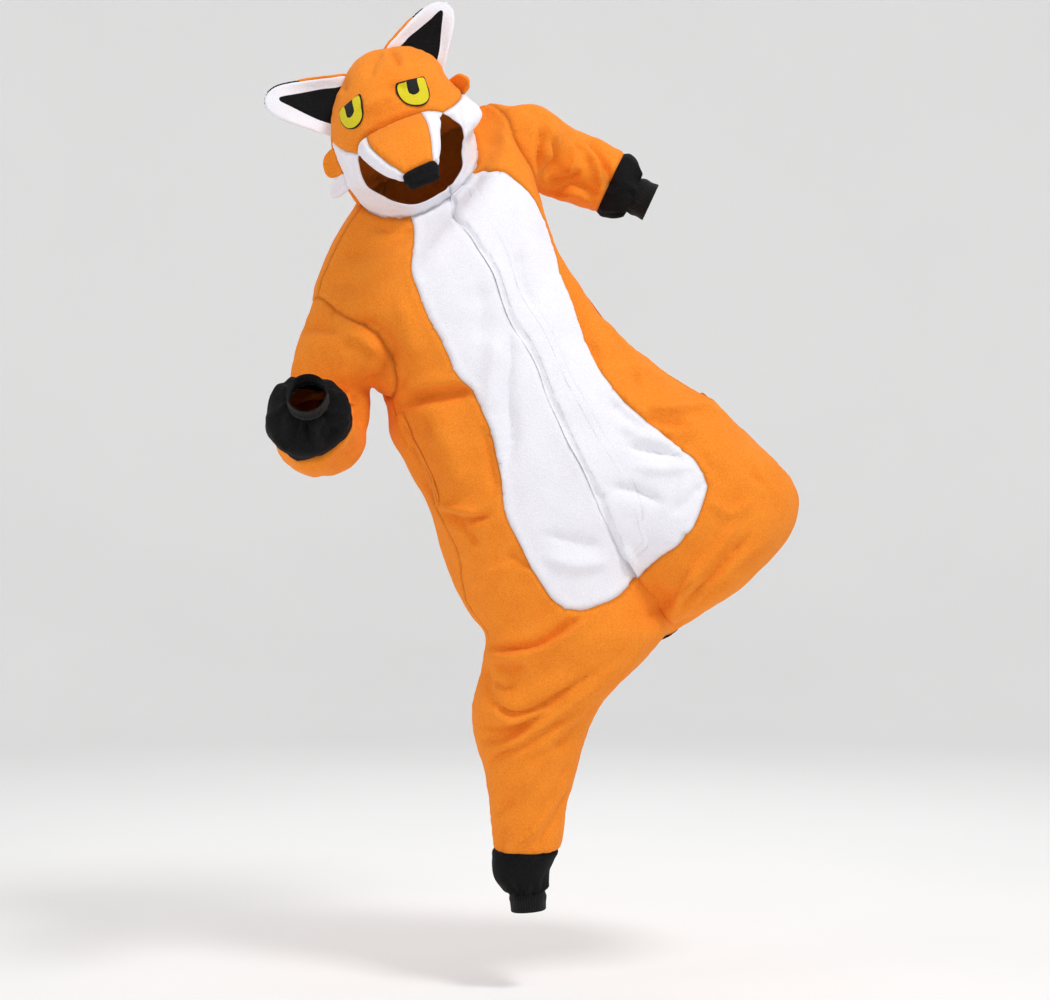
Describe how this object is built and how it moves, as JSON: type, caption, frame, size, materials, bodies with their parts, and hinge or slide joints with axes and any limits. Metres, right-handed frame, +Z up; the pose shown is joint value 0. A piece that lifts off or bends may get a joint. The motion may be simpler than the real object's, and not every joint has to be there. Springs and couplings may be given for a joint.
{
  "type": "worn animal onesie",
  "caption": "Hooded one-piece animal suit of fleece, worn pose, with eared hood, open-ended snout, front flap closing, ribbed cuffs and side pockets.",
  "frame": {"origin": "the middle of the neck seam, where the wearer's shoulders and neck hold the suit up", "axes": "+Z up, +X to the wearer's left, -Y to the front of the suit"},
  "size_m": [0.9465, 0.6239, 1.6216],
  "materials": {
    "orange_fleece": "brushed fleece",
    "white_fleece": "brushed fleece",
    "black_fleece": "brushed fleece",
    "black_rib": "knitted rib",
    "black_thread": "embroidered satin stitch",
    "yellow_thread": "embroidered satin stitch"
  },
  "bodies": {
    "root": {"ankle_cuff_left": "black_rib", "ankle_cuff_right": "black_rib", "back_left": "orange_fleece", "back_right": "orange_fleece", "belly_left": "white_fleece", "belly_right": "white_fleece", "cheek_left": "white_fleece", "cheek_right": "white_fleece", "ear_back_left": "orange_fleece", "ear_back_right": "orange_fleece", "ear_back_tip_left": "black_fleece", "ear_back_tip_right": "black_fleece", "ear_front_left": "white_fleece", "ear_front_right": "white_fleece", "ear_inner_left": "black_fleece", "ear_inner_right": "black_fleece", "eye_outline_left": "black_thread", "eye_outline_right": "black_thread", "front_left": "orange_fleece", "front_right": "orange_fleece", "hood_back_left": "orange_fleece", "hood_back_right": "orange_fleece", "hood_front": "orange_fleece", "iris_left": "yellow_thread", "iris_right": "yellow_thread", "leg_end_left": "black_fleece", "leg_end_right": "black_fleece", "nose": "black_fleece", "placket": "white_fleece", "pocket_hem_left": "orange_fleece", "pocket_hem_right": "orange_fleece", "sleeve_end_left": "black_fleece", "sleeve_end_right": "black_fleece", "sleeve_left": "orange_fleece", "sleeve_right": "orange_fleece", "snout_side_left": "white_fleece", "snout_side_right": "white_fleece", "snout_top": "orange_fleece", "tuft_lower_right": "white_fleece", "tuft_upper_left": "orange_fleece", "tuft_upper_right": "orange_fleece", "wrist_cuff_left": "black_rib", "wrist_cuff_right": "black_rib"}
  },
  "joints": []
}
